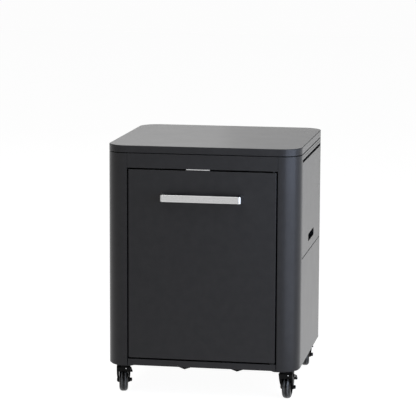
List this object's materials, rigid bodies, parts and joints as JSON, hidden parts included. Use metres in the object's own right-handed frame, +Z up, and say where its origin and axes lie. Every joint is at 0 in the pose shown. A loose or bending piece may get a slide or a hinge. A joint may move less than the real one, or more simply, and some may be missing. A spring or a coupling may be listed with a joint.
{
  "type": "outdoor kitchen table",
  "caption": "Charcoal steel outdoor kitchen table on swivel castors, with a rounded worktop, an inset front door with a bar handle, and fold-up side leaves with grip slots.",
  "frame": {"origin": "on the floor, at the middle of the outline seen from above", "axes": "+Z up, -Y towards the front with the door, +X to the right as seen from the front"},
  "size_m": [0.632, 0.645, 0.83],
  "materials": {
    "charcoal_paint": "satin powder coat",
    "brushed_bar": "brushed along the bar",
    "bright_steel": "zinc plated",
    "castor_metal": "black satin",
    "castor_bolt": "black oxide",
    "tray_black": "matt black",
    "tyre_rubber": "matt rubber",
    "seal_rubber": "matt",
    "black_plastic": "fine grain"
  },
  "bodies": {
    "cabinet": {"worktop": "charcoal_paint", "worktop_stiffeners": "charcoal_paint", "worktop_seal": "seal_rubber", "post_front_left": "charcoal_paint", "post_front_right": "charcoal_paint", "post_back_left": "charcoal_paint", "post_back_right": "charcoal_paint", "front_top_rail": "charcoal_paint", "front_bottom_rail": "charcoal_paint", "back_panel": "charcoal_paint", "side_rail_left": "charcoal_paint", "side_rail_right": "charcoal_paint", "inner_panel_left": "charcoal_paint", "inner_panel_right": "charcoal_paint", "lower_panel_left": "charcoal_paint", "lower_panel_right": "charcoal_paint", "floor_panel": "tray_black", "base_plates": "charcoal_paint", "base_screws": "bright_steel", "castor_stems": "bright_steel", "door_keeper": "bright_steel", "door_stop": "charcoal_paint", "door_bushes": "black_plastic", "leaf_pivots": "black_plastic"},
    "door": {"door_skin": "charcoal_paint", "door_backing": "charcoal_paint", "door_handle": "brushed_bar", "handle_screws": "bright_steel", "door_pins": "castor_bolt", "door_magnet": "seal_rubber"},
    "leaf_left": {"leaf_skin_left": "charcoal_paint", "leaf_backing_left": "charcoal_paint", "leaf_grip_left": "black_plastic", "leaf_pins_left": "bright_steel"},
    "leaf_right": {"leaf_skin_right": "charcoal_paint", "leaf_backing_right": "charcoal_paint", "leaf_grip_right": "black_plastic", "leaf_pins_right": "bright_steel"},
    "castor_front_left": {"fork_front_left": "castor_metal", "axle_front_left": "castor_bolt"},
    "wheel_front_left": {"tyre_front_left": "tyre_rubber", "hub_front_left": "black_plastic"},
    "brake_front_left": {"pedal_front_left": "black_plastic"},
    "castor_front_right": {"fork_front_right": "castor_metal", "axle_front_right": "castor_bolt"},
    "wheel_front_right": {"tyre_front_right": "tyre_rubber", "hub_front_right": "black_plastic"},
    "brake_front_right": {"pedal_front_right": "black_plastic"},
    "castor_back_left": {"fork_back_left": "castor_metal", "axle_back_left": "castor_bolt"},
    "wheel_back_left": {"tyre_back_left": "tyre_rubber", "hub_back_left": "black_plastic"},
    "brake_back_left": {"pedal_back_left": "black_plastic"},
    "castor_back_right": {"fork_back_right": "castor_metal", "axle_back_right": "castor_bolt"},
    "wheel_back_right": {"tyre_back_right": "tyre_rubber", "hub_back_right": "black_plastic"},
    "brake_back_right": {"pedal_back_right": "black_plastic"}
  },
  "joints": [
    {"name": "door_hinge", "type": "hinge", "parent": "cabinet", "child": "door", "pos_m": [0.23065, -0.2785, 0.443], "axis": [0, 0, 1], "range_deg": [0, 110]},
    {"name": "leaf_fold_left", "type": "hinge", "parent": "cabinet", "child": "leaf_left", "pos_m": [-0.308, 0.0175, 0.7695], "axis": [0, 1, 0], "range_deg": [0, 90]},
    {"name": "leaf_fold_right", "type": "hinge", "parent": "cabinet", "child": "leaf_right", "pos_m": [0.308, 0.0175, 0.7695], "axis": [0, -1, 0], "range_deg": [0, 90]},
    {"name": "swivel_front_left", "type": "hinge", "parent": "cabinet", "child": "castor_front_left", "pos_m": [-0.271, -0.2255, 0.098], "axis": [0, 0, 1], "continuous": true},
    {"name": "roll_front_left", "type": "hinge", "parent": "castor_front_left", "child": "wheel_front_left", "pos_m": [-0.2752, -0.2039, 0.038], "axis": [0.9816, 0.1908, 0], "continuous": true},
    {"name": "pedal_front_left", "type": "hinge", "parent": "castor_front_left", "child": "brake_front_left", "pos_m": [-0.24859, -0.21503, 0.08], "axis": [-0.9816, -0.1908, 0], "range_deg": [0, 8]},
    {"name": "swivel_front_right", "type": "hinge", "parent": "cabinet", "child": "castor_front_right", "pos_m": [0.271, -0.2255, 0.098], "axis": [0, 0, 1], "continuous": true},
    {"name": "roll_front_right", "type": "hinge", "parent": "castor_front_right", "child": "wheel_front_right", "pos_m": [0.27138, -0.2035, 0.038], "axis": [0.9998, -0.0175, 0], "continuous": true},
    {"name": "pedal_front_right", "type": "hinge", "parent": "castor_front_right", "child": "brake_front_right", "pos_m": [0.2951, -0.21992, 0.08], "axis": [-0.9998, 0.0175, 0], "range_deg": [0, 8]},
    {"name": "swivel_back_left", "type": "hinge", "parent": "cabinet", "child": "castor_back_left", "pos_m": [-0.271, 0.2605, 0.098], "axis": [0, 0, 1], "continuous": true},
    {"name": "roll_back_left", "type": "hinge", "parent": "castor_back_left", "child": "wheel_back_left", "pos_m": [-0.27406, 0.28229, 0.038], "axis": [0.9903, 0.1392, 0], "continuous": true},
    {"name": "pedal_back_left", "type": "hinge", "parent": "castor_back_left", "child": "brake_back_left", "pos_m": [-0.24807, 0.26978, 0.08], "axis": [-0.9903, -0.1392, 0], "range_deg": [0, 8]},
    {"name": "swivel_back_right", "type": "hinge", "parent": "cabinet", "child": "castor_back_right", "pos_m": [0.271, 0.2605, 0.098], "axis": [0, 0, 1], "continuous": true},
    {"name": "roll_back_right", "type": "hinge", "parent": "castor_back_right", "child": "wheel_back_right", "pos_m": [0.26794, 0.28229, 0.038], "axis": [0.9903, 0.1392, 0], "continuous": true},
    {"name": "pedal_back_right", "type": "hinge", "parent": "castor_back_right", "child": "brake_back_right", "pos_m": [0.29393, 0.26978, 0.08], "axis": [-0.9903, -0.1392, 0], "range_deg": [0, 8]}
  ]
}
